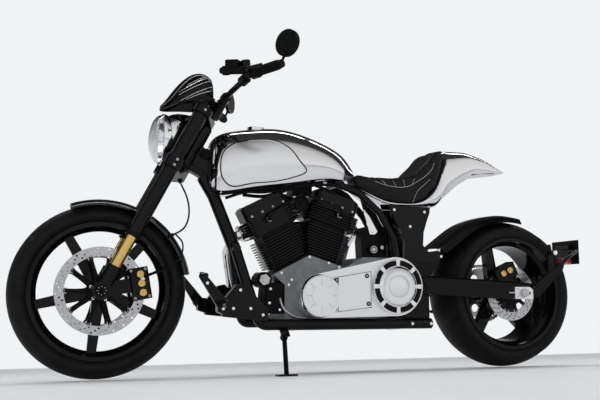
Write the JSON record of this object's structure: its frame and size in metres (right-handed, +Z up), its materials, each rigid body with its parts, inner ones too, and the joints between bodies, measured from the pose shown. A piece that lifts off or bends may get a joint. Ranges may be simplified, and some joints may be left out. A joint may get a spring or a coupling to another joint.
{
  "type": "cruiser motorcycle",
  "caption": "Long low cruiser motorcycle with an air-cooled V-twin, polished tank and tail, black cast wheels, and a side stand it leans on.",
  "frame": {"origin": "on the floor under the middle of the machine's bounding box", "axes": "+X forward, +Y to the rider's left, +Z up; the machine leans to its left on its side stand"},
  "size_m": [2.4372, 0.9475, 1.2899],
  "materials": {
    "black_satin": "satin black",
    "cast": "grey cast aluminium",
    "chrome": "bright reflector",
    "glass": "clear lens",
    "gloss_black": "gloss black paint and powder coat",
    "gold": "gold nitride coated fork tube",
    "leather": "black padded leather",
    "machined": "bright machined aluminium",
    "polished": "mirror-polished metal",
    "red": "red lamp lens",
    "rubber": "black rubber",
    "steel": "ground stainless steel",
    "tyre": "black tyre rubber"
  },
  "bodies": {
    "chassis": {"axle_blocks": "machined", "crankcase": "cast", "drive_chain": "steel", "electrics_box": "black_satin", "exhaust_headers": "polished", "filler_cap": "polished", "foot_controls": "gloss_black", "frame_backbone": "gloss_black", "frame_cradle": "gloss_black", "front_cylinder": "gloss_black", "fuel_tank": "polished", "gearbox": "cast", "intake": "black_satin", "muffler": "black_satin", "number_plate": "black_satin", "oil_filter": "black_satin", "primary_cover": "machined", "pushrods": "polished", "rear_axle": "steel", "rear_caliper": "gloss_black", "rear_cylinder": "gloss_black", "rear_fender": "gloss_black", "rear_frame": "gloss_black", "rear_shock": "steel", "seat": "leather", "swingarm": "gloss_black", "tail": "polished", "tail_arm": "gloss_black", "tail_lamps": "red"},
    "steering": {"fork_outer": "gloss_black", "fork_inner": "gold", "fork_feet": "gloss_black", "front_axle": "machined", "lower_clamp": "gloss_black", "upper_clamp": "gloss_black", "headlamp_shell": "chrome", "headlamp_lens": "glass", "cowl": "gloss_black", "handlebar": "gloss_black", "risers": "gloss_black", "grips": "rubber", "levers": "gloss_black", "mirrors": "black_satin", "gauge": "black_satin", "front_calipers": "gloss_black", "front_fender": "gloss_black", "brake_hose": "rubber"},
    "front_wheel": {"front_tyre": "tyre", "front_rim": "gloss_black", "front_discs": "steel"},
    "rear_wheel": {"rear_tyre": "tyre", "rear_rim": "gloss_black", "rear_disc": "steel", "rear_sprocket": "steel"},
    "stand": {"side_stand": "gloss_black"}
  },
  "joints": [
    {"name": "steer", "type": "hinge", "parent": "chassis", "child": "steering", "pos_m": [0.85391, -0.07856, 0.3041], "axis": [-0.454, 0.0777, 0.8876], "range_deg": [-30, 30]},
    {"name": "front_wheel_spin", "type": "hinge", "parent": "steering", "child": "front_wheel", "pos_m": [0.894, -0.07678, 0.32445], "axis": [0, 0.9962, -0.0872], "continuous": true},
    {"name": "rear_wheel_spin", "type": "hinge", "parent": "chassis", "child": "rear_wheel", "pos_m": [-0.84, -0.07678, 0.32445], "axis": [0, 0.9962, -0.0872], "continuous": true},
    {"name": "side_stand_fold", "type": "hinge", "parent": "chassis", "child": "stand", "pos_m": [0.22, 0.06008, 0.14484], "axis": [0.0175, 0.7199, 0.6938], "range_deg": [0, 92.1]}
  ]
}
